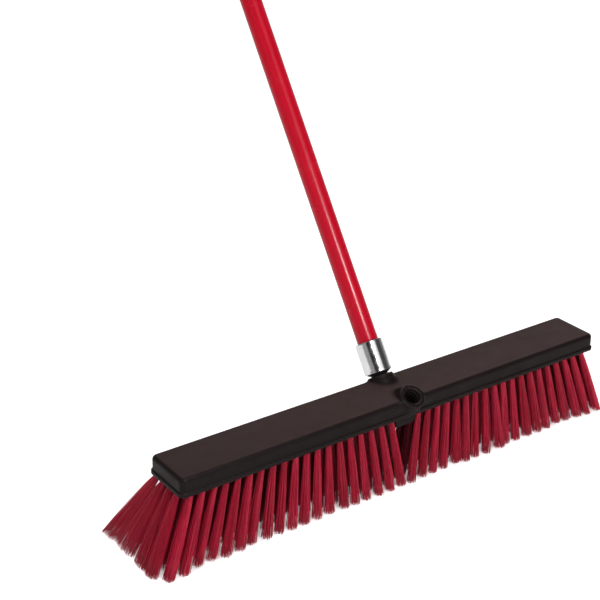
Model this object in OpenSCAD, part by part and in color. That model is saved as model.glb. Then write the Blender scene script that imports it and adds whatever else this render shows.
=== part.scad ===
// Push broom: a moulded block with two angled, threaded handle sockets, rows of
// anchor-set tufts, and a coated steel tube handle that screws into either socket.
// X runs along the block, +Y is the side the handle leans to, +Z is up.
// The origin is the centre of the block's flat top face.

/* [Block] */
// Overall length of the block, measured over its lip
block_l = 610; // [560:1:640]
// Overall width of the block, measured over its lip
block_w = 67; // [64:0.5:72]
// Thickness of the block from its top face to its underside
block_t = 22; // [21:0.5:24]
// Height of the lip round the bottom of the block
lip_h = 5; // [4:0.5:6]
// How far the lip stands out from the side walls
lip_out = 1.8; // [1:0.1:2.5]
// Plan radius of the block's corners
corner_r = 8; // [6:0.5:10]
// Radius along the top edges
edge_r = 5; // [3:0.5:6]
// Depth of the pad under the sockets, below the underside
pad_h = 14; // [8:0.5:15]

/* [Tufts] */
// Spacing of the tufts along the front row
tuft_pitch = 14.83; // [14.5:0.01:15]
// Spacing of the tufts along the other rows, which reach further towards the ends
rear_pitch = 15.3; // [14.8:0.01:15.35]
// Tufts in one half of a row
tufts_per_half = 19; // [12:1:19]
// Spacing between rows
row_pitch = 12.25; // [11.5:0.05:12.5]
// Centre of the gap between the two halves
gap_x = 1; // [0:0.5:2]
// Half the gap between the two innermost tufts of a row
gap_half = 21; // [20:0.5:24]
// Diameter of a tuft where it leaves the block
tuft_d = 6.4; // [5.5:0.1:6.8]
// Diameter of a tuft at its trimmed tips
tip_d = 12; // [7:0.1:12]
// Depth of a tuft hole
tuft_hole = 14; // [12:0.5:15]
// Trimmed length of the bristles below the block
bristle_l = 89; // [75:1:95]
// Slope of the tufts at the left end away from the middle
fan_left = 0.38; // [0.2:0.01:0.4]
// Slope of the tufts at the right end away from the middle
fan_right = 0.33; // [0.2:0.01:0.4]
// Extra slope of the tufts towards the left end, which is splayed more
left_splay = 0.05; // [0:0.01:0.1]
// Slope of the innermost tufts towards the gap
fan_mid = 0.16; // [0.05:0.01:0.17]
// Slope of the outer rows towards the front and the back
row_flare = 0.10; // [0.05:0.01:0.15]
// Extra slope of the front row at the two ends
front_corner = 0.05; // [0:0.01:0.2]
// Extra slope of the back row at the two ends
back_corner = 0.42; // [0:0.01:0.45]

/* [Sockets] */
// Distance of both sockets from the middle of the block
socket_x = 6.5; // [3:0.5:6.5]
// Slope of each socket away from the vertical
lean = 35; // [33:0.5:37]
// Distance of a socket's mouth from the block's centre line
mouth_y = 30; // [29:0.5:31]
// Height of the middle of a socket's mouth above the top face
mouth_z = 2; // [2:0.5:4]
// Diameter of a socket's bore
socket_d = 19.05; // [19:0.05:19.1]
// Depth of a socket's bore
socket_depth = 28.5; // [28:0.5:29]
// Outer diameter of the boss round a socket
boss_d = 31; // [29:0.5:33]

/* [Handle] */
// Length of the handle from the end of its thread to the top of its cap
handle_l = 1524; // [1200:1:1600]
// Outer diameter of the tube
tube_d = 25.4; // [25:0.1:25.6]
// Wall of the tube
tube_wall = 0.8; // [0.6:0.05:1]
// Outer diameter of the tube's drawn-down lower end, inside the tip's cup
tube_end_d = 24.6; // [24.4:0.1:24.8]
// Diameter of the thread on the tip
stud_d = 18.9; // [18.86:0.01:18.98]
// Length of the thread on the tip
stud_l = 27; // [26:0.5:27.5]
// Diameter of the ferrule
ferrule_d = 33.4; // [33:0.1:35]
// Length of the ferrule
ferrule_l = 39; // [36:1:42]
// Wall of the ferrule
ferrule_wall = 0.8; // [0.6:0.1:0.8]
// Diameter of the hanging hole in the cap
hang_d = 8; // [6:0.5:9]

/* [Hidden] */
$fn = 48;

tip_z = -block_t - bristle_l;
body_l = block_l - 2 * lip_out;
body_w = block_w - 2 * lip_out;
neck_l = 3;
pad_l = 2 * (gap_half - tuft_d / 2 - 1.5);
pad_end_l = 2 * (gap_half - (fan_mid + 0.04) * pad_h - tuft_d / 2 - 1.6);
cup_r = ferrule_d / 2 - ferrule_wall - 0.05;
cup_top = neck_l + ferrule_l;
handle_top = handle_l - stud_l;
cap_l = 38;
tongue_t = 10;
pin_s = 27;
black = [0.16, 0.14, 0.14];
red = [0.72, 0.05, 0.15];
bristle_red = [0.62, 0.06, 0.16];

// Sign of a half: left is -1, right is +1
function side_of(x) = x > gap_x ? 1 : -1;
// Place of tuft i of a row's half along the block
function tuft_x(row, side, i) = gap_x + side * (gap_half + i * (row == 0 ? tuft_pitch : rear_pitch));
function tuft_y(row) = (row - 2) * row_pitch;
// From 0 along most of the block to 1 near its ends
function end_share(x) = pow(max(0, (abs(x) - 225) / 70), 2);
// Slope along the block: towards the gap in the middle, away from it at the ends
function slope_x(x) = side_of(x) * (-fan_mid + ((x > gap_x ? fan_right : fan_left) + fan_mid) * (abs(x - gap_x) - gap_half) / (18 * tuft_pitch)) - (x < 0 ? left_splay * end_share(x) : 0);
// Slope across the block: the outer rows flare, and more so at the ends
function slope_y(row, x) = (row - 2) / 2 * (row_flare + (row > 2 ? back_corner : front_corner) * end_share(x));
function norm3(a, b) = sqrt(a * a + b * b + 1);

// Puts a child whose +Z runs from a tuft's root to its tips into its hole
module in_hole(row, x, y) {
    a = slope_x(x);
    b = slope_y(row, x);
    n = norm3(a, b);
    translate([x - a / n * tuft_hole, y - b / n * tuft_hole, -block_t + tuft_hole / n])
        rotate([0, acos(-1 / n), atan2(b, a)])
            children();
}

module on_handle_axis() {
    translate([socket_x, mouth_y, mouth_z]) rotate([-lean, 0, 0]) children();
}

module on_spare_axis() {
    translate([socket_x, -mouth_y, mouth_z]) rotate([lean, 0, 0]) children();
}

// A box standing on z with upright rounded corners
module slab(l, w, h, r) {
    translate([-l / 2 + r, -w / 2, 0]) cube([l - 2 * r, w, h]);
    translate([-l / 2, -w / 2 + r, 0]) cube([l, w - 2 * r, h]);
    for (sx = [-1, 1], sy = [-1, 1])
        translate([sx * (l / 2 - r), sy * (w / 2 - r), 0]) cylinder(h = h, r = r);
}

// A bar along X whose two upper edges are round
module round_bar(l, w, h, r) {
    translate([-l / 2, -w / 2, -h]) cube([l, w, h - r]);
    translate([-l / 2, -w / 2 + r, -h]) cube([l, w - 2 * r, h]);
    for (s = [-1, 1])
        translate([-l / 2, s * (w / 2 - r), -r]) rotate([0, 90, 0]) cylinder(h = l, r = r);
}

module block_blank() {
    translate([0, 0, -block_t]) slab(block_l, block_w, lip_h, corner_r);
    intersection() {
        round_bar(block_l, body_w, block_t - 1, edge_r);
        rotate([0, 0, 90]) round_bar(block_w, body_l, block_t - 1, edge_r);
        translate([0, 0, -block_t + 1]) slab(body_l, body_w, block_t - 1, corner_r - lip_out);
    }
    // pad that carries the blind ends of the sockets, in the gap between the tufts
    translate([gap_x, 27, 0]) rotate([90, 0, 0]) linear_extrude(54)
        polygon([[-pad_l / 2, -block_t + 2], [-pad_l / 2, -block_t - 2], [-pad_end_l / 2, -block_t - pad_h], [pad_end_l / 2, -block_t - pad_h], [pad_l / 2, -block_t - 2], [pad_l / 2, -block_t + 2]]);
}

// Boss round a socket
module boss() {
    translate([0, 0, -22]) cylinder(h = 22, d = boss_d);
}

// Flares that carry the bosses where they run into the top face, below both mouths
module boss_flares() {
    intersection() {
        for (side = [-1, 1])
            translate([socket_x, side * 22, -8]) cylinder(h = 14, r1 = 25, r2 = 10.5);
        on_handle_axis() translate([-60, -80, -61.2]) cube([120, 160, 60]);
        on_spare_axis() translate([-60, -80, -61.2]) cube([120, 160, 60]);
        translate([0, 0, 12]) cube([90, body_w - 2, 40], center = true);
    }
}

module socket_bore() {
    translate([0, 0, -socket_depth]) cylinder(h = socket_depth + 1, d = socket_d);
    translate([0, 0, -1]) cylinder(h = 2.01, r1 = socket_d / 2, r2 = socket_d / 2 + 2);
}

module tuft_holes() {
    for (row = [0 : 4], side = [-1, 1], i = [0 : tufts_per_half - 1]) {
        x = tuft_x(row, side, i);
        in_hole(row, x, tuft_y(row))
            translate([0, 0, -0.3]) cylinder(h = tuft_hole + 4, d = tuft_d + 0.2);
    }
}

module block() color(black) {
    difference() {
        union() {
            block_blank();
            intersection() {
                union() {
                    on_handle_axis() boss();
                    on_spare_axis() boss();
                }
                translate([0, 0, -block_t + 2 + 30]) cube([80, 110, 60], center = true);
            }
            boss_flares();
        }
        on_handle_axis() socket_bore();
        on_spare_axis() socket_bore();
        tuft_holes();
    }
}

// One tuft: straight in its hole, spreading to its trimmed tips, notched for its anchor
module tuft(len) {
    difference() {
        rotate_extrude()
            polygon([[0, 0], [tuft_d / 2, 0], [tuft_d / 2, tuft_hole], [tip_d / 2, len], [0, len]]);
        translate([-0.35, -tuft_d, -1]) cube([0.7, tuft_d * 2, 3.9]);
    }
}

module tuft_row(row, side) color(bristle_red) {
    intersection() {
        union() {
            for (i = [0 : tufts_per_half - 1]) {
                x = tuft_x(row, side, i);
                n = norm3(slope_x(x), slope_y(row, x));
                in_hole(row, x, tuft_y(row)) tuft(tuft_hole + bristle_l * n + 8);
            }
        }
        translate([-block_l, -200, tip_z]) cube([2 * block_l, 400, bristle_l + block_t]);
    }
}

// Flat wire anchors, one across the root of each tuft of a row
module anchor_row(row) color("silver") {
    for (side = [-1, 1], i = [0 : tufts_per_half - 1]) {
        x = tuft_x(row, side, i);
        in_hole(row, x, tuft_y(row))
            translate([-0.25, -2.9, 0.2]) cube([0.5, 5.8, 2.4]);
    }
}

// Threaded tip: stud, tapered neck, and a cup with a spigot that hold the tube's end
module threaded_tip() color([0.09, 0.09, 0.1]) on_handle_axis() {
    difference() {
        rotate_extrude()
            polygon([
                [0, -stud_l], [stud_d / 2 - 1.3, -stud_l], [stud_d / 2, -stud_l + 1.5],
                [stud_d / 2, 0], [10.1, 1.2], [13.4, neck_l], [cup_r, neck_l + 1],
                [cup_r, cup_top - 0.9], [tube_end_d / 2 + 0.05, cup_top - 0.9], [tube_end_d / 2 + 0.05, neck_l + 4],
                [tube_end_d / 2 - tube_wall - 0.05, neck_l + 4], [tube_end_d / 2 - tube_wall - 0.05, 38],
                [tube_end_d / 2 - tube_wall - 1.2, 40], [0, 40]
            ]);
        translate([-20, 0, pin_s]) rotate([0, 90, 0]) cylinder(h = 40, r = 2.05);
    }
}

// Pin across cup, tube and spigot, hidden under the ferrule
module tip_cross_pin() color("silver") on_handle_axis() {
    translate([-cup_r + 0.15, 0, pin_s]) rotate([0, 90, 0]) cylinder(h = 2 * cup_r - 0.3, r = 2);
}

// Plated sleeve over the cup, rolled in at its top end
module ferrule() color([0.8, 0.8, 0.82]) on_handle_axis() {
    o = ferrule_d / 2;
    i = o - ferrule_wall;
    b = neck_l + 1.2;
    t = cup_top;
    rotate_extrude()
        polygon([
            [i, b], [o - 0.5, b], [o - 0.15, b + 0.3], [o, b + 1.2],
            [o, t - 1.2], [o - 0.35, t - 0.35], [o - 1.2, t],
            [tube_end_d / 2 + 0.06, t], [tube_end_d / 2 + 0.06, t - 0.8], [i, t - 0.8]
        ]);
}

module handle_tube() color(red) on_handle_axis() {
    s0 = neck_l + 4.2;
    s1 = cup_top + 0.4;
    difference() {
        union() {
            translate([0, 0, s0]) cylinder(h = s1 - s0 + 1, d = tube_end_d);
            translate([0, 0, s1]) cylinder(h = handle_top - cap_l + 8 - s1, d = tube_d);
        }
        translate([0, 0, neck_l]) cylinder(h = cup_top + 2 - neck_l, d = tube_end_d - 2 * tube_wall);
        translate([0, 0, cup_top + 1]) cylinder(h = 1.01, r1 = tube_end_d / 2 - tube_wall, r2 = tube_d / 2 - tube_wall);
        translate([0, 0, cup_top + 2]) cylinder(h = handle_top, d = tube_d - 2 * tube_wall);
        translate([-20, 0, pin_s]) rotate([0, 90, 0]) cylinder(h = 40, r = 2.05);
    }
}

// Cap: a plug inside the tube, a collar just under its size, and a flat round tongue with a hole
module hang_cap() color(black) on_handle_axis() {
    c = handle_top - cap_l + 8.1;
    r = tube_d / 2 - 0.3;
    difference() {
        union() {
            translate([0, 0, c - 22]) cylinder(h = 23, r = tube_d / 2 - tube_wall - 0.05);
            translate([0, 0, c]) cylinder(h = 5, r = r);
            translate([0, 0, c + 5]) cylinder(h = 5, r1 = r, r2 = r - 3);
            intersection() {
                translate([0, 0, c]) cylinder(h = handle_top - c, r = r);
                union() {
                    translate([-tongue_t / 2, -r, c]) cube([tongue_t, 2 * r, handle_top - c - r]);
                    translate([-tongue_t / 2, 0, handle_top - r]) rotate([0, 90, 0]) cylinder(h = tongue_t, r = r);
                }
            }
        }
        translate([-20, 0, handle_top - r]) rotate([0, 90, 0]) cylinder(h = 40, d = hang_d);
    }
}

block();
tuft_row(0, -1);  // tufts_front_left
tuft_row(0, 1);  // tufts_front_right
tuft_row(1, -1);  // tufts_inner_front_left
tuft_row(1, 1);  // tufts_inner_front_right
tuft_row(2, -1);  // tufts_middle_left
tuft_row(2, 1);  // tufts_middle_right
tuft_row(3, -1);  // tufts_inner_back_left
tuft_row(3, 1);  // tufts_inner_back_right
tuft_row(4, -1);  // tufts_back_left
tuft_row(4, 1);  // tufts_back_right
anchor_row(0);  // anchors_front
anchor_row(1);  // anchors_inner_front
anchor_row(2);  // anchors_middle
anchor_row(3);  // anchors_inner_back
anchor_row(4);  // anchors_back
threaded_tip();
tip_cross_pin();
ferrule();
handle_tube();
hang_cap();
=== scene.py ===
import math

import bpy
import numpy as np
from mathutils import Matrix, Vector


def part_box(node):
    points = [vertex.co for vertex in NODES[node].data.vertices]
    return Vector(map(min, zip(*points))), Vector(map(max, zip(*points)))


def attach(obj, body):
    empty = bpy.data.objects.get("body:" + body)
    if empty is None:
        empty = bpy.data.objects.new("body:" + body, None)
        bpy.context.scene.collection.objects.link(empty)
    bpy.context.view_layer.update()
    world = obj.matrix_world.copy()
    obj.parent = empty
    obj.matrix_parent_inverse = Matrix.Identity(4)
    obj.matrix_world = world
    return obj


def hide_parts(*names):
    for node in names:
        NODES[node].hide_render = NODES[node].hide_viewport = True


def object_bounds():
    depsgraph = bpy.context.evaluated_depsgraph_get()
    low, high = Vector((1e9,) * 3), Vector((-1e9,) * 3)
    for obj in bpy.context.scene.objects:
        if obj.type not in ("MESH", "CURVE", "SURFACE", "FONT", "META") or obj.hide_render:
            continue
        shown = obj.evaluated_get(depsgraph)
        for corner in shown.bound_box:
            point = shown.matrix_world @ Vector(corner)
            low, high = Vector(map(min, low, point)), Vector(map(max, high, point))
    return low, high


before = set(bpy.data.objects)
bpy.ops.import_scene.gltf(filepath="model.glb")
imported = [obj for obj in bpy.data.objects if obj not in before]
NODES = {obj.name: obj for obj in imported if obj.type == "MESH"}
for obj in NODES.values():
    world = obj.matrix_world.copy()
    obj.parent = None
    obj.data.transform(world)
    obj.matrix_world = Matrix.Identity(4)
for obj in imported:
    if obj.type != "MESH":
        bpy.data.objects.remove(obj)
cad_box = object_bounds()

MM = 0.001
scene = bpy.context.scene
scene.view_settings.view_transform = "Standard"
scene.view_settings.look = "None"

# ---------------------------------------------------------------- the design's sizes, in mm
BLOCK_L, BLOCK_W, BLOCK_T = 610.0, 67.0, 22.0
LIP_H, LIP_OUT, CORNER_R, EDGE_R = 5.0, 1.8, 8.0, 5.0
PITCH, PER_HALF, ROW_PITCH, GAP_X, GAP_HALF = 14.83, 19, 12.25, 1.0, 21.0
TUFT_R, TIP_R, HOLE, BRISTLE = 3.2, 6.0, 14.0, 89.0
FAN_LEFT, FAN_RIGHT, FAN_MID, LEFT_SPLAY, ROW_FLARE, FRONT_CORNER, BACK_CORNER = 0.38, 0.33, 0.16, 0.05, 0.10, 0.05, 0.42
REAR_PITCH, PAD_H = 15.3, 14.0
PAD_HALF, PAD_END = GAP_HALF - TUFT_R - 1.5, GAP_HALF - (FAN_MID + 0.04) * PAD_H - TUFT_R - 1.6
SOCKET_X, LEAN, MOUTH_Y, MOUTH_Z = 6.5, math.radians(35), 30.0, 2.0
SOCKET_R, SOCKET_DEPTH, BOSS_R = 9.525, 28.5, 15.5
STUD_R, STUD_L, THREAD = 9.45, 27.0, 5.08
TUBE_R, TUBE_WALL, TUBE_END_R, FERRULE_R = 12.7, 0.8, 12.3, 16.7
HANDLE_TOP, TIP_Z = 1497.0, -111.0
CAP_S = HANDLE_TOP - 38 + 8.1

ROWS = ["front", "inner_front", "middle", "inner_back", "back"]


def axis_frame(side):
    """Mouth, axis and the two cross directions of the socket on that side (+1 is the handle's)."""
    h = np.array([0.0, side * math.sin(LEAN), math.cos(LEAN)])
    e1 = np.array([1.0, 0.0, 0.0])
    return np.array([SOCKET_X, side * MOUTH_Y, MOUTH_Z]), h, e1, np.cross(h, e1)


HO, HH, HE1, HE2 = axis_frame(1)


def side_of(x):
    return 1.0 if x > GAP_X else -1.0


def tuft_x(row, side, i):
    return GAP_X + side * (GAP_HALF + i * (PITCH if row == 0 else REAR_PITCH))


def tuft_y(row):
    return (row - 2) * ROW_PITCH


def end_share(x):
    return max(0.0, (abs(x) - 225) / 70) ** 2


def slope_x(x):
    a = side_of(x) * (-FAN_MID + ((FAN_RIGHT if x > GAP_X else FAN_LEFT) + FAN_MID) * (abs(x - GAP_X) - GAP_HALF) / (18 * PITCH))
    return a - (LEFT_SPLAY * end_share(x) if x < 0 else 0)


def slope_y(row, x):
    return (row - 2) / 2 * (ROW_FLARE + (BACK_CORNER if row > 2 else FRONT_CORNER) * end_share(x))


# ---------------------------------------------------------------- mesh helpers
def make_object(name, verts_mm, faces, smooth=True, body="block", replaces=(), material=None, sharp=None):
    me = bpy.data.meshes.new(name)
    v = np.asarray(verts_mm, float) * MM
    faces = np.asarray(faces, np.int32)
    me.vertices.add(len(v))
    me.vertices.foreach_set("co", v.astype(np.float32).ravel())
    n = faces.shape[1]
    me.loops.add(faces.size)
    me.loops.foreach_set("vertex_index", faces.ravel())
    me.polygons.add(len(faces))
    me.polygons.foreach_set("loop_start", np.arange(0, faces.size, n, dtype=np.int32))
    me.update(calc_edges=True)
    me.validate()
    if smooth:
        me.polygons.foreach_set("use_smooth", np.ones(len(me.polygons), bool))
        if sharp:
            me.set_sharp_from_angle(angle=math.radians(sharp))
    o = bpy.data.objects.new(name, me)
    scene.collection.objects.link(o)
    if material:
        me.materials.append(material)
    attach(o, body)
    if replaces:
        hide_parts(*replaces)
    return o


def surface_nets(V, X, Y, Z):
    """Quads over the zero surface of V (negative inside) on a grid that need not be even."""
    nx, ny, nz = V.shape
    S = V < 0
    acc = np.zeros((nx - 1, ny - 1, nz - 1, 3))
    cnt = np.zeros((nx - 1, ny - 1, nz - 1))
    grids = (X, Y, Z)
    crossings = []
    for ax in range(3):
        lo = [slice(None)] * 3
        hi = [slice(None)] * 3
        lo[ax], hi[ax] = slice(0, -1), slice(1, None)
        a, b = V[tuple(lo)], V[tuple(hi)]
        m = S[tuple(lo)] != S[tuple(hi)]
        I = np.argwhere(m)
        va, vb = a[m], b[m]
        t = va / (va - vb)
        p = np.empty((len(I), 3))
        for k in range(3):
            g = grids[k]
            p[:, k] = g[I[:, k]] if k != ax else g[I[:, k]] + t * (g[I[:, k] + 1] - g[I[:, k]])
        inside_low = S[tuple(lo)][m]
        crossings.append((ax, I, inside_low))
        o1, o2 = [k for k in range(3) if k != ax]
        for d1 in (0, 1):
            for d2 in (0, 1):
                J = I.copy()
                J[:, o1] -= d1
                J[:, o2] -= d2
                ok = (J >= 0).all(1) & (J[:, 0] < nx - 1) & (J[:, 1] < ny - 1) & (J[:, 2] < nz - 1)
                Jk = J[ok]
                np.add.at(acc, (Jk[:, 0], Jk[:, 1], Jk[:, 2]), p[ok])
                np.add.at(cnt, (Jk[:, 0], Jk[:, 1], Jk[:, 2]), 1)
    live = cnt > 0
    idx = -np.ones(cnt.shape, np.int64)
    idx[live] = np.arange(live.sum())
    verts = acc[live] / cnt[live][:, None]
    quads = []
    for ax, I, low in crossings:
        o1, o2 = [(1, 2), (2, 0), (0, 1)][ax]
        ok = (I[:, o1] > 0) & (I[:, o2] > 0) & (I[:, o1] < V.shape[o1] - 1) & (I[:, o2] < V.shape[o2] - 1)
        I, low = I[ok], low[ok]
        q = []
        for d1, d2 in ((1, 1), (0, 1), (0, 0), (1, 0)):
            J = I.copy()
            J[:, o1] -= d1
            J[:, o2] -= d2
            q.append(idx[J[:, 0], J[:, 1], J[:, 2]])
        q = np.stack(q, 1)
        q[~low] = q[~low][:, ::-1]
        quads.append(q)
    return verts, np.concatenate(quads)


def spaced(*spans):
    """Grid lines: (from, to, step) spans joined end to end."""
    out = []
    for a, b, s in spans:
        n = max(1, int(round((b - a) / s)))
        out.append(np.linspace(a, b, n + 1)[:-1])
    out.append(np.array([spans[-1][1]]))
    return np.concatenate(out)


def fillet_and(a, b, r):
    u, v = a + r, b + r
    return np.minimum(np.maximum(u, v), 0) + np.hypot(np.maximum(u, 0), np.maximum(v, 0)) - r


def smin(a, b, k):
    t = np.clip(0.5 + 0.5 * (b - a) / k, 0, 1)
    return b * (1 - t) + a * t - k * t * (1 - t)


def smax(a, b, k):
    return -smin(-a, -b, k)


def plan(x, y, hx, hy, r):
    qx, qy = np.abs(x) - (hx - r), np.abs(y) - (hy - r)
    return np.minimum(np.maximum(qx, qy), 0) + np.hypot(np.maximum(qx, 0), np.maximum(qy, 0)) - r


def ridge(u, lo, hi):
    """Height from 0 to 1 of a rounded thread form at phase u, 1 at u = 0."""
    w = 0.5 + 0.5 * np.cos(2 * math.pi * u)
    t = np.clip((w - lo) / (hi - lo), 0, 1)
    return t * t * (3 - 2 * t)


def block_field(X, Y, Z):
    x, y, z = X[:, None, None], Y[None, :, None], Z[None, None, :]
    one = np.ones((len(X), len(Y), len(Z)))
    body = fillet_and(plan(x, y, BLOCK_L / 2 - LIP_OUT, BLOCK_W / 2 - LIP_OUT, CORNER_R - LIP_OUT), z * one, EDGE_R)
    body = np.maximum(body, -(z + BLOCK_T - 1))
    lip = fillet_and(plan(x, y, BLOCK_L / 2, BLOCK_W / 2, CORNER_R), np.abs(z + BLOCK_T - LIP_H / 2) - LIP_H / 2, 1.1)
    f = smin(body, lip, 1.4)
    half = PAD_HALF + (PAD_END - PAD_HALF) * np.clip((-BLOCK_T - 2 - z) / (PAD_H - 2), 0, 1)
    pad = smax(np.abs(x - GAP_X) - half, np.abs(y) - 27.0 + 0 * x, 2.5)
    pad = smax(pad, np.abs(z + BLOCK_T + PAD_H / 2 - 1) - PAD_H / 2 - 1 + 0 * x, 1.6)
    f = smin(f, pad, 1.6)
    # only the middle of the block has sockets
    mid = np.where((X > -46) & (X < 60))[0]
    i0, i1 = mid[0], mid[-1] + 1
    xm = X[i0:i1, None, None]
    g = f[i0:i1]
    ax = []
    for side in (1, -1):
        o, h, e1, e2 = axis_frame(side)
        px, py, pz = xm - o[0], y - o[1], z - o[2]
        s = py * h[1] + pz * h[2] + 0 * px
        c1 = px + 0 * s
        c2 = py * e2[1] + pz * e2[2] + 0 * px
        ax.append((s, np.hypot(c1, c2), np.arctan2(c2, c1)))
    for side in (1, -1):
        vr = np.hypot(xm - SOCKET_X, y - side * 22 + 0 * xm)
        flare = (vr - (25 - (z + 8) * 14.5 / 14)) * 0.695
        flare = np.maximum(flare, -(z + 8) + 0 * flare)
        flare = smax(flare, np.abs(y) - 30.5 + 0 * flare, 2.5)
        flare = smax(flare, (z - 6.0) + 0 * flare, 1.5)
        for s, rho, th in ax:
            flare = smax(flare, s + 2.0, 1.5)
        g = smin(g, flare, 5.0)
    for s, rho, th in ax:
        boss = fillet_and(rho - BOSS_R, s, 1.4)
        boss = np.maximum(boss, -(s + 22))
        boss = smax(boss, -(z + 16.4) + 0 * boss, 1.5)
        g = smin(g, boss, 3.2)
    for s, rho, th in ax:
        u = th / (2 * math.pi) - s / THREAD
        fade = np.clip((-s - 2.2) / 2.0, 0, 1) * np.clip((s + SOCKET_DEPTH - 0.5) / 2.0, 0, 1)
        wall = SOCKET_R - 1.25 * fade * ridge(u, 0.42, 0.86)
        cut = np.maximum(rho - wall, -(s + SOCKET_DEPTH))
        mouth = np.maximum((rho - (SOCKET_R + 1.0 + s)) * 0.7071, -(s + 1.6))
        cut = np.minimum(cut, mouth)
        # nothing stands above the mouth
        above = np.maximum(rho - (SOCKET_R + 1.0), -s)
        cut = np.minimum(cut, above)
        g = smax(g, -cut, 0.45)
    f[i0:i1] = g
    # tuft holes
    for row in range(5):
        for side in (-1, 1):
            for i in range(PER_HALF):
                hx, hy = tuft_x(row, side, i), tuft_y(row)
                a, b = slope_x(hx), slope_y(row, hx)
                n = math.sqrt(a * a + b * b + 1)
                d = np.array([a, b, -1]) / n
                ii = np.where((X > hx - 11) & (X < hx + 11))[0]
                jj = np.where((Y > hy - 9) & (Y < hy + 9))[0]
                kk = np.where(Z < -BLOCK_T + HOLE + 2.5)[0]
                sl = (slice(ii[0], ii[-1] + 1), slice(jj[0], jj[-1] + 1), slice(kk[0], kk[-1] + 1))
                qx = X[sl[0]][:, None, None] - hx
                qy = Y[sl[1]][None, :, None] - hy
                qz = Z[sl[2]][None, None, :] + BLOCK_T
                t = qx * d[0] + qy * d[1] + qz * d[2]
                r2 = np.maximum(qx * qx + qy * qy + qz * qz - t * t, 0)
                hole = fillet_and(np.sqrt(r2) - (TUFT_R + 0.1), -(t + HOLE + 0.3), 0.6)
                sub = f[sl]
                f[sl] = smax(sub, -hole, 0.5)
    return f


def grid_surface(name, rings, closed_start, closed_end, **kw):
    """A surface of quads between rings of equal point counts (a list of (m, 3) arrays), joined ring to ring; it adds
    no caps.
    """
    m = len(rings[0])
    v = np.concatenate(rings)
    n = len(rings)
    i = np.arange(n - 1)[:, None] * m
    j = np.arange(m)[None, :]
    j2 = (j + 1) % m
    quads = np.stack([i + j, i + j2, i + m + j2, i + m + j], -1).reshape(-1, 4)
    return v, quads


def revolve(profile, segs, radius_of=None):
    """Verts and quads of a profile [(r, s), ...] turned about the handle's axis; the first and last points lie on the axis or meet."""
    th = np.linspace(0, 2 * math.pi, segs, endpoint=False)
    c, sn = np.cos(th), np.sin(th)
    rings = []
    for k, (r, s) in enumerate(profile):
        rr = radius_of(k, r, s, th) if radius_of else r * np.ones(segs)
        rings.append(HO + np.outer(rr * c, HE1) + np.outer(rr * sn, HE2) + s * HH)
    return grid_surface("", rings, False, False)


def outward(verts, faces):
    """Faces turned so that the closed mesh has a positive volume."""
    v = verts - verts.mean(0)
    a, b, c, d = (v[faces[:, k]] for k in range(4))
    vol = (np.einsum("ij,ij->i", a, np.cross(b, c)) + np.einsum("ij,ij->i", a, np.cross(c, d))).sum()
    return faces if vol > 0 else faces[:, ::-1]


def arc(cr, cs, rad, a0, a1, n):
    """Points (r, s) round (cr, cs) from angle a0 to a1 in degrees."""
    return [(cr + rad * math.cos(math.radians(a)), cs + rad * math.sin(math.radians(a))) for a in np.linspace(a0, a1, n)]


def drill(obj, r, s, half):
    """Cuts the cross pin's hole through obj, along X."""
    bpy.ops.mesh.primitive_cylinder_add(vertices=40, radius=r * MM, depth=2 * half * MM)
    c = bpy.context.active_object
    c.matrix_world = Matrix.Translation(Vector((HO + s * HH) * MM)) @ Matrix.Rotation(math.pi / 2, 4, "Y")
    bpy.context.view_layer.update()
    mod = obj.modifiers.new("pin_hole", "BOOLEAN")
    mod.object, mod.operation, mod.solver = c, "DIFFERENCE", "EXACT"
    dg = bpy.context.evaluated_depsgraph_get()
    new = bpy.data.meshes.new_from_object(obj.evaluated_get(dg))
    obj.modifiers.clear()
    old = obj.data
    obj.data = new
    bpy.data.meshes.remove(old)
    bpy.data.objects.remove(c)


# ---------------------------------------------------------------- materials
def new_material(name):
    m = bpy.data.materials.new(name)
    m.use_nodes = True
    nt = m.node_tree
    bsdf = nt.nodes["Principled BSDF"]
    return m, nt, bsdf


def node(nt, kind, **props):
    n = nt.nodes.new(kind)
    for k, v in props.items():
        if k.startswith("in_"):
            n.inputs[k[3:].replace("_", " ")].default_value = v
        else:
            setattr(n, k, v)
    return n


def link(nt, a, b):
    nt.links.new(a, b)


def coords(nt, scale=(1, 1, 1)):
    tc = node(nt, "ShaderNodeTexCoord")
    mp = node(nt, "ShaderNodeMapping")
    mp.inputs["Scale"].default_value = scale
    link(nt, tc.outputs["Object"], mp.inputs["Vector"])
    return mp.outputs["Vector"]


def noise(nt, vec, scale, detail=3.0, rough=0.55, distortion=0.0):
    n = node(nt, "ShaderNodeTexNoise")
    n.inputs["Scale"].default_value = scale
    n.inputs["Detail"].default_value = detail
    n.inputs["Roughness"].default_value = rough
    n.inputs["Distortion"].default_value = distortion
    link(nt, vec, n.inputs["Vector"])
    return n.outputs["Fac"]


def ramp(nt, fac, stops):
    r = node(nt, "ShaderNodeValToRGB")
    el = r.color_ramp.elements
    el.remove(el[1])
    el[0].position = stops[0][0]
    el[0].color = (*stops[0][1], 1)
    for p, c in stops[1:]:
        el.new(p).color = (*c, 1)
    link(nt, fac, r.inputs["Fac"])
    return r.outputs["Color"]


def remap(nt, fac, a, b, c, d):
    m = node(nt, "ShaderNodeMapRange")
    for k, v in (("From Min", a), ("From Max", b), ("To Min", c), ("To Max", d)):
        m.inputs[k].default_value = v
    link(nt, fac, m.inputs["Value"])
    return m.outputs["Result"]


def mix_color(nt, fac, a, b, mode="MIX"):
    m = node(nt, "ShaderNodeMix", data_type="RGBA", blend_type=mode)
    for sock, val in ((m.inputs[0], fac), (m.inputs[6], a), (m.inputs[7], b)):
        if isinstance(val, bpy.types.NodeSocket):
            link(nt, val, sock)
        else:
            sock.default_value = val if not isinstance(val, tuple) or len(val) == 4 else (*val, 1)
    return m.outputs[2]


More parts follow.
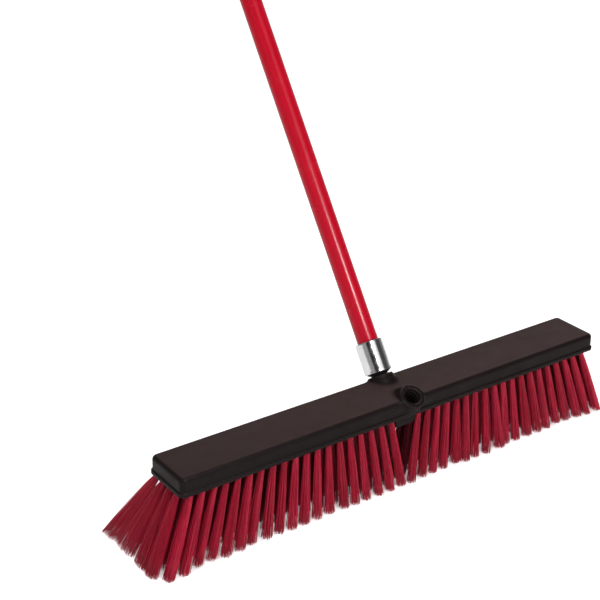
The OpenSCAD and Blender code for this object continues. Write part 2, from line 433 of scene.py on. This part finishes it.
def math_node(nt, op, a, b=None):
    m = node(nt, "ShaderNodeMath", operation=op)
    for sock, val in ((m.inputs[0], a), (m.inputs[1], b)):
        if val is None:
            continue
        if isinstance(val, bpy.types.NodeSocket):
            link(nt, val, sock)
        else:
            sock.default_value = val
    return m.outputs[0]


def bump(nt, bsdf, *layers):
    """layers: (height socket, distance in m, strength)"""
    last = None
    for h, dist, strength in layers:
        b = node(nt, "ShaderNodeBump")
        b.inputs["Distance"].default_value = dist
        b.inputs["Strength"].default_value = strength
        link(nt, h, b.inputs["Height"])
        if last is not None:
            link(nt, last, b.inputs["Normal"])
        last = b.outputs["Normal"]
    link(nt, last, bsdf.inputs["Normal"])


def wear(nt, lo, hi):
    """0 in the flat, 1 on convex edges."""
    g = node(nt, "ShaderNodeNewGeometry")
    return remap(nt, g.outputs["Pointiness"], lo, hi, 0.0, 1.0)


def block_material():
    m, nt, b = new_material("block_resin")
    v = coords(nt)
    cloud = noise(nt, v, 14, 4, 0.6)
    base = ramp(nt, cloud, [(0.30, (0.0052, 0.0030, 0.0029)), (0.55, (0.0064, 0.0038, 0.0036)), (0.80, (0.0082, 0.0050, 0.0047))])
    # painted light: the faces that look up are painted lighter, more so towards +X, as if lit from above
    g = node(nt, "ShaderNodeNewGeometry")
    sep = node(nt, "ShaderNodeSeparateXYZ")
    link(nt, g.outputs["Normal"], sep.inputs["Vector"])
    up = remap(nt, sep.outputs["Z"], 0.86, 0.995, 0.0, 1.0)
    painted_top_light = math_node(nt, "MULTIPLY", up, remap(nt, noise(nt, coords(nt, (5, 16, 16)), 1.0, 4, 0.6), 0.3, 0.7, 0.80, 1.0))
    where = node(nt, "ShaderNodeSeparateXYZ")
    link(nt, v, where.inputs["Vector"])
    painted_top_light = math_node(nt, "MULTIPLY", painted_top_light, remap(nt, where.outputs["X"], -0.30, 0.12, 0.74, 1.0))
    # painted light mixed in: lighter up-facing faces
    base = mix_color(nt, painted_top_light, base, (0.0375, 0.0243, 0.0230))
    speck = noise(nt, v, 700, 2, 0.5)
    base = mix_color(nt, remap(nt, speck, 0.62, 0.80, 0.0, 0.35), base, (0.040, 0.032, 0.030))
    edge = wear(nt, 0.515, 0.56)
    scuffmask = noise(nt, v, 60, 5, 0.7)
    e = math_node(nt, "MULTIPLY", edge, remap(nt, scuffmask, 0.38, 0.62, 0.15, 1.0))
    base = mix_color(nt, math_node(nt, "MULTIPLY", e, 0.55), base, (0.050, 0.042, 0.040))
    # long light drag marks from use, along the block
    streak = noise(nt, coords(nt, (7, 260, 260)), 1.0, 3, 0.6, 0.3)
    s = remap(nt, streak, 0.66, 0.74, 0.0, 0.30)
    base = mix_color(nt, s, base, (0.034, 0.027, 0.025))
    link(nt, base, b.inputs["Base Color"])
    r = remap(nt, noise(nt, v, 38, 4, 0.65), 0.3, 0.7, 0.40, 0.56)
    r = math_node(nt, "SUBTRACT", r, math_node(nt, "MULTIPLY", e, 0.10))
    link(nt, r, b.inputs["Roughness"])
    b.inputs["IOR"].default_value = 1.50
    b.inputs["Specular IOR Level"].default_value = 0.06
    grain = noise(nt, v, 1150, 2, 0.5)
    swell = noise(nt, v, 45, 3, 0.5)
    bump(nt, b, (swell, 0.0006, 0.25), (grain, 0.00010, 0.45), (s, 0.0001, 0.35))
    return m


def bristle_material():
    m, nt, b = new_material("bristle_filament")
    a = node(nt, "ShaderNodeAttribute", attribute_name="fv")
    along = node(nt, "ShaderNodeAttribute", attribute_name="ft")
    tone = node(nt, "ShaderNodeAttribute", attribute_name="tv")
    c = ramp(nt, a.outputs["Fac"], [(0.0, (0.290, 0.0014, 0.0170)), (0.45, (0.400, 0.0050, 0.0310)), (0.8, (0.480, 0.0180, 0.0520)), (1.0, (0.560, 0.0500, 0.0950))])
    c = mix_color(nt, remap(nt, tone.outputs["Fac"], 0.0, 1.0, 0.0, 0.45), c, (0.200, 0.0008, 0.0080))
    v = coords(nt)
    c = mix_color(nt, remap(nt, noise(nt, v, 90, 3, 0.6), 0.35, 0.7, 0.0, 0.35), c, (0.200, 0.0010, 0.0070))
    # painted shade: the sv attribute darkens filaments towards near black where the other rows and the block shade
    # them
    shade = node(nt, "ShaderNodeAttribute", attribute_name="sv")
    painted_row_shade = math_node(nt, "MULTIPLY", shade.outputs["Fac"], remap(nt, noise(nt, v, 60, 3, 0.6), 0.3, 0.7, 0.85, 1.1))
    c = mix_color(nt, painted_row_shade, c, (0.022, 0.0004, 0.0012))
    # trimmed ends are paler and a little dusty
    c = mix_color(nt, remap(nt, along.outputs["Fac"], 0.965, 1.0, 0.0, 0.35), c, (0.480, 0.050, 0.070))
    link(nt, c, b.inputs["Base Color"])
    link(nt, remap(nt, noise(nt, v, 400, 2, 0.5), 0.3, 0.7, 0.34, 0.50), b.inputs["Roughness"])
    b.inputs["Specular IOR Level"].default_value = 0.22
    b.inputs["IOR"].default_value = 1.50
    bump(nt, b, (noise(nt, coords(nt, (1, 1, 0.12)), 3000, 2, 0.5), 0.00006, 0.35))
    return m


def chrome_material():
    m, nt, b = new_material("ferrule_plating")
    v = coords(nt)
    b.inputs["Metallic"].default_value = 1.0
    c = ramp(nt, noise(nt, v, 55, 4, 0.6), [(0.3, (0.47, 0.465, 0.47)), (0.7, (0.55, 0.545, 0.55))])
    scr = noise(nt, coords(nt, (1400, 90, 60)), 1.0, 3, 0.6, 0.2)
    c = mix_color(nt, remap(nt, scr, 0.66, 0.76, 0.0, 0.4), c, (0.33, 0.33, 0.34))
    link(nt, c, b.inputs["Base Color"])
    r = remap(nt, noise(nt, v, 120, 4, 0.7), 0.3, 0.7, 0.10, 0.20)
    link(nt, r, b.inputs["Roughness"])
    bump(nt, b, (noise(nt, v, 260, 3, 0.5), 0.0002, 0.10), (scr, 0.00005, 0.35))
    return m


def handle_material():
    m, nt, b = new_material("handle_powder_coat")
    v = coords(nt)
    c = ramp(nt, noise(nt, v, 9, 4, 0.6), [(0.3, (0.315, 0.0012, 0.0105)), (0.7, (0.365, 0.0020, 0.0140))])
    # fine scuffs where hands and hooks rub
    scuff = noise(nt, coords(nt, (900, 60, 42)), 1.0, 4, 0.65, 0.25)
    s = remap(nt, scuff, 0.68, 0.76, 0.0, 0.35)
    c = mix_color(nt, s, c, (0.50, 0.035, 0.05))
    speck = noise(nt, v, 1500, 1, 0.5)
    c = mix_color(nt, remap(nt, speck, 0.66, 0.78, 0.0, 0.2), c, (0.30, 0.0015, 0.009))
    link(nt, c, b.inputs["Base Color"])
    r = remap(nt, noise(nt, v, 30, 3, 0.6), 0.3, 0.7, 0.20, 0.30)
    r = math_node(nt, "ADD", r, math_node(nt, "MULTIPLY", s, 0.35))
    link(nt, r, b.inputs["Roughness"])
    b.inputs["IOR"].default_value = 1.50
    b.inputs["Specular IOR Level"].default_value = 0.14
    peel = noise(nt, v, 420, 2, 0.5)
    bump(nt, b, (peel, 0.00016, 0.22), (s, 0.00005, 0.3))
    return m


def tip_material():
    m, nt, b = new_material("tip_nylon")
    v = coords(nt)
    c = ramp(nt, noise(nt, v, 60, 4, 0.6), [(0.3, (0.0070, 0.0058, 0.0055)), (0.7, (0.0125, 0.0105, 0.0100))])
    e = wear(nt, 0.52, 0.60)
    c = mix_color(nt, math_node(nt, "MULTIPLY", e, 0.5), c, (0.060, 0.055, 0.053))
    link(nt, c, b.inputs["Base Color"])
    link(nt, remap(nt, noise(nt, v, 150, 3, 0.6), 0.3, 0.7, 0.30, 0.44), b.inputs["Roughness"])
    bump(nt, b, (noise(nt, v, 900, 2, 0.5), 0.00008, 0.4))
    return m


def cap_material():
    m, nt, b = new_material("cap_plastic")
    v = coords(nt)
    c = ramp(nt, noise(nt, v, 40, 4, 0.6), [(0.3, (0.0100, 0.0092, 0.0090)), (0.7, (0.0160, 0.0148, 0.0145))])
    e = wear(nt, 0.52, 0.58)
    c = mix_color(nt, math_node(nt, "MULTIPLY", e, 0.6), c, (0.055, 0.050, 0.048))
    link(nt, c, b.inputs["Base Color"])
    link(nt, remap(nt, noise(nt, v, 110, 3, 0.6), 0.3, 0.7, 0.42, 0.60), b.inputs["Roughness"])
    bump(nt, b, (noise(nt, v, 1000, 2, 0.5), 0.0001, 0.5))
    return m


def steel_material(name, lo, hi, stretch):
    m, nt, b = new_material(name)
    b.inputs["Metallic"].default_value = 1.0
    brush = noise(nt, coords(nt, stretch), 1.0, 3, 0.6)
    link(nt, ramp(nt, brush, [(0.3, lo), (0.7, hi)]), b.inputs["Base Color"])
    link(nt, remap(nt, brush, 0.3, 0.7, 0.25, 0.45), b.inputs["Roughness"])
    bump(nt, b, (brush, 0.00004, 0.4))
    return m


MAT_BLOCK = block_material()
MAT_BRISTLE = bristle_material()
MAT_CHROME = chrome_material()
MAT_HANDLE = handle_material()
MAT_TIP = tip_material()
MAT_CAP = cap_material()
MAT_ANCHOR = steel_material("anchor_wire", (0.42, 0.41, 0.39), (0.62, 0.61, 0.58), (2200, 300, 300))
MAT_PIN = steel_material("pin_steel", (0.50, 0.50, 0.50), (0.68, 0.68, 0.68), (200, 2000, 2000))

# ---------------------------------------------------------------- block
X = spaced((-306.2, -294.0, 0.8), (-294.0, -45.0, 1.8), (-45.0, 59.0, 0.75), (59.0, 294.0, 1.8), (294.0, 306.2, 0.8))
Y = spaced((-46.5, -34.5, 0.9), (-34.5, -25.0, 0.65), (-25.0, 25.0, 1.05), (25.0, 34.5, 0.65), (34.5, 46.5, 0.9))
Z = spaced((-37.6, -23.0, 0.8), (-23.0, -15.0, 0.6), (-15.0, -6.0, 0.9), (-6.0, 1.2, 0.6), (1.2, 12.6, 0.8))
bv, bq = surface_nets(block_field(X, Y, Z), X, Y, Z)
block = make_object("block_body", bv, bq, body="block", replaces=("block",), material=MAT_BLOCK)


# ---------------------------------------------------------------- tufts
def disc_points(n, rng):
    """n points filling a unit disc evenly, a little disordered."""
    k = np.arange(n) + 0.5
    r = np.sqrt(k / n)
    a = k * 2.399963 + rng.uniform(0, 2 * math.pi)
    p = np.stack([r * np.cos(a), r * np.sin(a)], 1)
    return p * 0.96 + rng.normal(0, 0.03, (n, 2))


FILAMENTS = 84
RINGS = 7
SIDES = 4
# how much darker a row is painted: painted shade where the others and the block shade it
ROW_SHADE = [0.0, 0.55, 0.72, 0.72, 0.30]


def tuft_row(row, side):
    rng = np.random.default_rng(1000 + 37 * row + (500 if side > 0 else 0))
    lo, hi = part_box("tufts_%s_%s" % (ROWS[row], "right" if side > 0 else "left"))
    verts, faces, fv, ft, tv, sv = [], [], [], [], [], []
    base = 0
    for i in range(PER_HALF):
        hx, hy = tuft_x(row, side, i), tuft_y(row)
        a, b = slope_x(hx), slope_y(row, hx)
        n = math.sqrt(a * a + b * b + 1)
        d = np.array([a, b, -1]) / n
        u = np.cross(d, [0, 1, 0]); u /= np.linalg.norm(u)
        w = np.cross(d, u)
        share = min(1.0, end_share(hx))
        end = i == PER_HALF - 1
        count = FILAMENTS + (int(90 * share) if share > 0.1 else 0)
        # each tuft leans, opens and is trimmed a little differently; the ends are splayed far more
        jit = rng.normal(0, 1.0, 2) * (1.1 if not end else 0.3)
        open_u = rng.uniform(5.6, 7.4) if not end else 5.3
        open_w = rng.uniform(5.2, 6.8) + share * [4.5, 5.5, 9.0, 12.0, 12.0][row]
        if i == 0:
            jit, open_u = jit * 0.4, min(open_u, 6.0)
        short = abs(rng.normal(0, 0.9))
        tuft_tone = rng.uniform(0, 1)
        disc = disc_points(count, rng)
        root = disc * 2.75
        tip = disc * [open_u, open_w] + rng.normal(0, 0.55, (count, 2))
        far = np.hypot(tip[:, 0] / (open_u + 0.7), tip[:, 1] / (open_w + 1.2))
        tip /= np.maximum(1, far)[:, None]
        # outer rows open towards their neighbours, not past the brush's outline (w runs towards -Y)
        if row == 4:
            tip[:, 1] = np.maximum(tip[:, 1], -5.5 - 0.15 * np.abs(tip[:, 1]))
        if row == 0:
            tip[:, 1] = np.minimum(tip[:, 1], 5.5 + 0.15 * np.abs(tip[:, 1]))
        tip += jit
        L = BRISTLE * n
        # stations along a filament: inside the hole, at its mouth, then down to the trim
        tt = np.array([-0.62, 0.0, 0.18, 0.40, 0.62, 0.82, 1.0])
        dist = np.where(tt < 0, tt * HOLE, tt * L)
        grow = np.where(tt <= 0, 0.0, np.maximum(tt, 0) ** (0.9 - 0.25 * share))
        wob = rng.normal(0, 0.45, (count, 2))
        ph = rng.uniform(0.7, 1.3, count)
        cut = short + np.abs(rng.normal(0, 0.7, count)) + (rng.uniform(0, 1, count) < 0.06) * rng.uniform(1, 5, count)
        rad = rng.uniform(0.23, 0.33, count)
        spin = rng.uniform(0, math.pi / 2, count)
        cen = np.zeros((count, RINGS, 3))
        for k in range(RINGS):
            off = root + (tip - root) * grow[k] + wob * math.sin(math.pi * min(max(tt[k], 0), 1)) * ph[:, None]
            cen[:, k] = np.array([hx, hy, -BLOCK_T]) + d * dist[k] + off[:, :1] * u + off[:, 1:] * w
        # trim to one plane, at most at the stated height
        z_end = TIP_Z + cut
        over = (z_end - cen[:, -2, 2]) / (cen[:, -1, 2] - cen[:, -2, 2])
        cen[:, -1] = cen[:, -2] + (cen[:, -1] - cen[:, -2]) * over[:, None]
        ring = np.zeros((count, RINGS, SIDES, 3))
        for q in range(SIDES):
            ang = spin + q * 2 * math.pi / SIDES
            o = np.cos(ang)[:, None] * u + np.sin(ang)[:, None] * w
            ring[:, :, q] = cen + rad[:, None, None] * o[:, None, :]
        ring[:, -1, :, 2] = z_end[:, None]
        vv = ring.reshape(-1, 3)
        f0 = base + np.arange(count)[:, None, None] * RINGS * SIDES
        kk = np.arange(RINGS - 1)[None, :, None] * SIDES
        qq = np.arange(SIDES)[None, None, :]
        q2 = (qq + 1) % SIDES
        quad = np.stack([f0 + kk + qq, f0 + kk + q2, f0 + kk + SIDES + q2, f0 + kk + SIDES + qq], -1).reshape(-1, 4)
        f1 = f0[:, 0, 0]
        last = (RINGS - 1) * SIDES
        capq = np.stack([f1 + last + q for q in range(4)], -1)
        capr = np.stack([f1 + 3 - q for q in range(4)], -1)
        verts.append(vv)
        faces += [quad, capq, capr]
        fv.append(np.repeat(rng.beta(2.0, 2.4, count), RINGS * SIDES))
        tv.append(np.full(count * RINGS * SIDES, tuft_tone))
        ft.append(np.tile(np.repeat(np.clip(tt, 0, 1), SIDES), count))
        # painted shade: strong beside the gap, weak at the ends, fading towards the tips
        level = max(ROW_SHADE[row] * (1 - 0.75 * share), (0.9 if row and i == 0 else 0.7 if row and i == 1 else 0.0))
        fade = 1 - (0.45 if i > 1 else 0.2) * np.clip(tt, 0, 1)
        sv.append(np.tile(np.repeat(level * fade, SIDES), count))
        base += len(vv)
    v = np.concatenate(verts)
    f = np.concatenate(faces)
    name = "tufts_%s_%s" % (ROWS[row], "right" if side > 0 else "left")
    lo, hi = np.array(lo) / MM, np.array(hi) / MM
    v = np.clip(v, [lo[0], max(lo[1] - 9.0, CAD_LO[1]), TIP_Z], [hi[0], hi[1] + 9.0, 100])
    o = make_object("filaments_" + name[6:], v, f, body="block", replaces=(name,), material=MAT_BRISTLE)
    for key, val in (("fv", fv), ("ft", ft), ("tv", tv), ("sv", sv)):
        at = o.data.attributes.new(key, "FLOAT", "POINT")
        at.data.foreach_set("value", np.concatenate(val).astype(np.float32))
    return o


CAD_LO = np.array(cad_box[0]) / MM
for row in range(5):
    for side in (-1, 1):
        tuft_row(row, side)

# ---------------------------------------------------------------- threaded tip
SEG = 96
prof = [(0.01, -27.0)] + [(r, -27.0) for r in (3.0, 6.0, 7.2)] + arc(7.2, -26.2, 0.8, -90, 0, 4)
start = len(prof)
svals = list(np.arange(-25.9, -2.2, 0.36))
prof += [(STUD_R, s) for s in svals]
stop = len(prof)
prof += [(8.6, -2.0), (8.6, -1.0), (8.9, -0.3), (9.6, 0.3), (10.15, 1.2), (11.2, 1.6), (12.3, 2.2), (13.2, 2.9), (14.2, 3.5), (15.3, 3.95),
         (15.8, 4.3), (15.85, 5.0), (15.85, 15), (15.85, 25), (15.85, 35), (15.85, 40.6), (15.6, 41.1), (12.6, 41.1), (12.35, 40.8), (12.35, 30), (12.35, 18), (12.35, 7.05),
         (11.45, 7.0), (11.45, 20), (11.45, 30), (11.45, 38), (10.9, 39.2), (10.3, 40), (6, 40), (0.01, 40)]


def tip_radius(k, r, s, th):
    if not start <= k < stop:
        return r * np.ones(len(th))
    u = th / (2 * math.pi) - s / THREAD
    form = ridge(u, 0.36, 0.80)
    grow = min(1, (s + 27) / 3.2) * min(1, (-s - 2.1) / 1.6)
    low = 7.95
    return low + (STUD_R - 1.35 * form - low) * np.clip(grow, 0, 1) if grow > 0 else low * np.ones(len(th))


tv_, tq_ = revolve(prof, SEG, tip_radius)
tip = make_object("threaded_tip_body", tv_, outward(tv_, tq_), body="handle", replaces=("threaded_tip",), material=MAT_TIP)
drill(tip, 2.05, 27, 18)
tip.data.set_sharp_from_angle(angle=math.radians(35))

# ---------------------------------------------------------------- ferrule
b0, t0 = 4.2, 42.0
prof = [(15.9, b0 + 0.35)] + arc(16.3, b0 + 0.4, 0.4, 180, 270, 5)[1:] + arc(16.3, b0 + 0.4, 0.4, 270, 360, 5)[1:]
prof += [(16.66, b0 + 1.2), (16.50, b0 + 2.6), (16.44, b0 + 3.6), (16.52, b0 + 4.8), (16.60, b0 + 8), (16.62, b0 + 14), (16.62, b0 + 22), (16.62, t0 - 5.0), (16.66, t0 - 2.6)]
prof += arc(15.1, t0 - 1.6, 1.6, 0, 78, 7)
prof += [(14.2, t0 - 0.02), (13.2, t0 + 0.0), (12.75, t0 - 0.12), (12.78, t0 - 0.6), (13.2, t0 - 0.8), (15.0, t0 - 0.82), (15.6, t0 - 1.2), (15.9, t0 - 2.0), (15.9, 30), (15.9, 18), (15.9, b0 + 0.35)]
fv_, fq_ = revolve(prof, 128)
ferrule = make_object("ferrule_sleeve", fv_, outward(fv_, fq_), body="ferrule", replaces=("ferrule",), material=MAT_CHROME, sharp=50)

# ---------------------------------------------------------------- handle tube
prof = [(TUBE_END_R - 0.8, 7.3), (TUBE_END_R - 0.15, 7.3), (TUBE_END_R, 7.5)] + [(TUBE_END_R, s) for s in (16, 24, 32, 38, 41.4)]
prof += [(12.36, 41.9), (12.55, 42.5), (12.66, 43.1), (TUBE_R, 43.8)]
top = HANDLE_TOP - 38 + 8
prof += [(TUBE_R, s) for s in np.linspace(60, top - 8, 40)] + [(TUBE_R, top - 0.3), (TUBE_R - 0.25, top), (TUBE_R - 0.6, top), (TUBE_R - 0.8, top - 0.2)]
prof += [(TUBE_R - 0.8, s) for s in np.linspace(top - 8, 60, 20)] + [(11.9, 44.2), (11.5, 43.0), (11.5, 30), (11.5, 7.3)]
hv_, hq_ = revolve(prof, SEG)
tube = make_object("handle_tube_body", hv_, outward(hv_, hq_), body="handle", replaces=("handle_tube",), material=MAT_HANDLE)
drill(tube, 2.05, 27, 18)
tube.data.set_sharp_from_angle(angle=math.radians(40))


# ---------------------------------------------------------------- hanging cap
def cap_field(A, B, S):
    a, b, s = A[:, None, None], B[None, :, None], S[None, None, :]
    rho = np.hypot(a, b) + 0 * s
    r = TUBE_R - 0.3
    collar = fillet_and(rho - r, np.abs(s - (CAP_S + 2.5)) - 2.5, 0.8)
    cone = np.maximum((rho - (r - 0.6 * (s - CAP_S - 5))) * 0.857, np.abs(s - (CAP_S + 7.5)) - 2.5)
    # flat round tongue
    top_c = HANDLE_TOP - r
    disc = np.where(s > top_c, np.hypot(b, s - top_c), np.abs(b)) - r
    tongue = fillet_and(disc + 0 * a, np.abs(a) - 5.0 + 0 * disc, 1.6)
    tongue = smax(tongue, rho - r, 0.8)
    tongue = np.maximum(tongue, CAP_S + 1 - s)
    f = smin(smin(collar, cone, 1.2), tongue, 2.6)
    plug = fillet_and(rho - (TUBE_R - TUBE_WALL - 0.05), np.abs(s - (CAP_S - 10)) - 12, 0.8)
    f = np.minimum(f, plug)
    hole = 4.0 - np.hypot(b, s - top_c) + 0 * a
    return smax(f, hole, 1.0)


A = spaced((-13.2, 13.2, 0.5))
S = spaced((CAP_S - 23.5, CAP_S - 2, 0.8), (CAP_S - 2, HANDLE_TOP + 1, 0.5))
cv, cq = surface_nets(cap_field(A, A, S), A, A, S)
cv = HO + cv[:, :1] * HE1 + cv[:, 1:2] * HE2 + cv[:, 2:] * HH
cap = make_object("hang_cap_body", cv, outward(cv, cq), body="handle", replaces=("hang_cap",), material=MAT_CAP)

# ---------------------------------------------------------------- hidden pieces carried over
for name, mat in [("anchors_" + r, MAT_ANCHOR) for r in ROWS] + [("tip_cross_pin", MAT_PIN)]:
    me = NODES[name].data
    me.materials.clear()
    me.materials.append(mat)

# ---------------------------------------------------------------- floor
def floor_material():
    m, nt, b = new_material("studio_floor")
    c = ramp(nt, noise(nt, coords(nt), 3.0, 3, 0.5), [(0.3, (0.90, 0.90, 0.90)), (0.7, (0.93, 0.93, 0.93))])
    link(nt, c, b.inputs["Base Color"])
    b.inputs["Roughness"].default_value = 0.9
    b.inputs["Specular IOR Level"].default_value = 0.1
    b.inputs["Emission Color"].default_value = (1, 1, 1, 1)
    b.inputs["Emission Strength"].default_value = 0.30
    return m


me = bpy.data.meshes.new("studio_floor")
me.from_pydata([(-30, -30, TIP_Z * MM), (30, -30, TIP_Z * MM), (30, 30, TIP_Z * MM), (-30, 30, TIP_Z * MM)], [], [(0, 1, 2, 3)])
floor = bpy.data.objects.new("studio_floor", me)
me.materials.append(floor_material())
scene.collection.objects.link(floor)

# ---------------------------------------------------------------- camera
AZ, EL, ROLL = 0.0, 0.0, 0.0
CAM = dict(az=math.radians(36.476), el=math.radians(25.007), roll=math.radians(1.193), D=1583.4, f=1369.7, tx=-105.75, ty=102.40)
az, el, roll = CAM["az"], CAM["el"], CAM["roll"]
F = np.array([math.sin(az) * math.cos(el), math.cos(az) * math.cos(el), -math.sin(el)])
r0 = np.array([math.cos(az), -math.sin(az), 0.0])
u0 = np.cross(r0, F)
Rv = math.cos(roll) * r0 + math.sin(roll) * u0
Uv = -math.sin(roll) * r0 + math.cos(roll) * u0
pos = (CAM["tx"] * Rv + CAM["ty"] * Uv - CAM["D"] * F) * MM
cam_data = bpy.data.cameras.new("photo_camera")
cam_data.sensor_width = 36.0
cam_data.lens = CAM["f"] / 600.0 * 36.0
cam_data.clip_end = 100.0
camera = bpy.data.objects.new("photo_camera", cam_data)
scene.collection.objects.link(camera)
camera.matrix_world = Matrix(((Rv[0], Uv[0], -F[0], pos[0]), (Rv[1], Uv[1], -F[1], pos[1]), (Rv[2], Uv[2], -F[2], pos[2]), (0, 0, 0, 1)))
scene.camera = camera


# ---------------------------------------------------------------- light
def area(name, direction, distance, size_x, size_y, power, aim=(0, 0, 0), long_axis=None, color=(1, 1, 1), shine=True):
    d = Vector(direction).normalized()
    L = bpy.data.lights.new(name, "AREA")
    L.shape = "RECTANGLE"
    L.size, L.size_y = size_x, size_y
    L.energy = power
    L.color = color
    o = bpy.data.objects.new(name, L)
    scene.collection.objects.link(o)
    o.visible_glossy = shine
    p = Vector(aim) + d * distance
    z = d
    y = Vector(long_axis) if long_axis is not None else Vector((0, 0, 1))
    y = (y - y.dot(z) * z).normalized()
    x = y.cross(z)
    o.matrix_world = Matrix(((x.x, y.x, z.x, p.x), (x.y, y.y, z.y, p.y), (x.z, y.z, z.z, p.z), (0, 0, 0, 1)))
    return o


ferrule_at = tuple((HO + 26 * HH) * MM)
view = -F
c_ = view - np.dot(view, HH) * HH
c_ /= np.linalg.norm(c_)
w_ = np.cross(HH, c_)


def around(beta):
    """Direction at angle beta from the camera's side towards the picture's right, square to the handle."""
    b = math.radians(beta)
    return tuple(math.cos(b) * c_ + math.sin(b) * w_)


area("key_strip", around(30), 3.0, 0.42, 3.2, 48, aim=ferrule_at, long_axis=tuple(HH), shine=False)
# a short strip seen only in reflections: the glint on the lower part of the handle
eye_s = float(np.dot((pos / MM) - HO, HH))
glint_s = (105.0 * 2.55 - eye_s * 1.0) / 1.55
glint = area("glint", around(23), 1.0, 0.085, 0.22, 12.0, aim=tuple((HO + glint_s * HH) * MM), long_axis=tuple(HH))
glint.visible_diffuse = False
area("fill_left", (-0.75, -0.45, 0.55), 3.0, 2.0, 2.0, 34, shine=False)
area("top_soft", (0.1, 0.2, 1.0), 3.2, 2.6, 2.6, 52, long_axis=(0, 1, 0), shine=False)

world = bpy.data.worlds.new("studio")
scene.world = world
world.use_nodes = True
wn = world.node_tree
wn.nodes.clear()
out = wn.nodes.new("ShaderNodeOutputWorld")
bg_cam = node(wn, "ShaderNodeBackground")
bg_cam.inputs["Color"].default_value = (1, 1, 1, 1)
bg_cam.inputs["Strength"].default_value = 1.0
bg_env = node(wn, "ShaderNodeBackground")
tc = node(wn, "ShaderNodeTexCoord")


def dot(vec):
    n = node(wn, "ShaderNodeVectorMath", operation="DOT_PRODUCT")
    link(wn, tc.outputs["Generated"], n.inputs[0])
    n.inputs[1].default_value = tuple(float(x) for x in vec)
    return n.outputs["Value"]


beta = math_node(wn, "ARCTAN2", dot(w_), dot(c_))
fac = remap(wn, beta, -math.pi, math.pi, 0.0, 1.0)


def at(deg):
    return (deg + 180) / 360


bands = [(at(-180), 0.40), (at(-95), 0.34), (at(-72), 0.72), (at(-28), 0.66), (at(-20), 0.035), (at(12), 0.035), (at(18), 1.9),
         (at(48), 1.9), (at(56), 0.13), (at(94), 0.13), (at(106), 0.50), (at(180), 0.50)]
col = ramp(wn, fac, [(p, (g, g, g)) for p, g in bands])
link(wn, col, bg_env.inputs["Color"])
bg_env.inputs["Strength"].default_value = 0.75
lp = node(wn, "ShaderNodeLightPath")
mixw = node(wn, "ShaderNodeMixShader")
link(wn, lp.outputs["Is Camera Ray"], mixw.inputs["Fac"])
link(wn, bg_env.outputs["Background"], mixw.inputs[1])
link(wn, bg_cam.outputs["Background"], mixw.inputs[2])
link(wn, mixw.outputs["Shader"], out.inputs["Surface"])
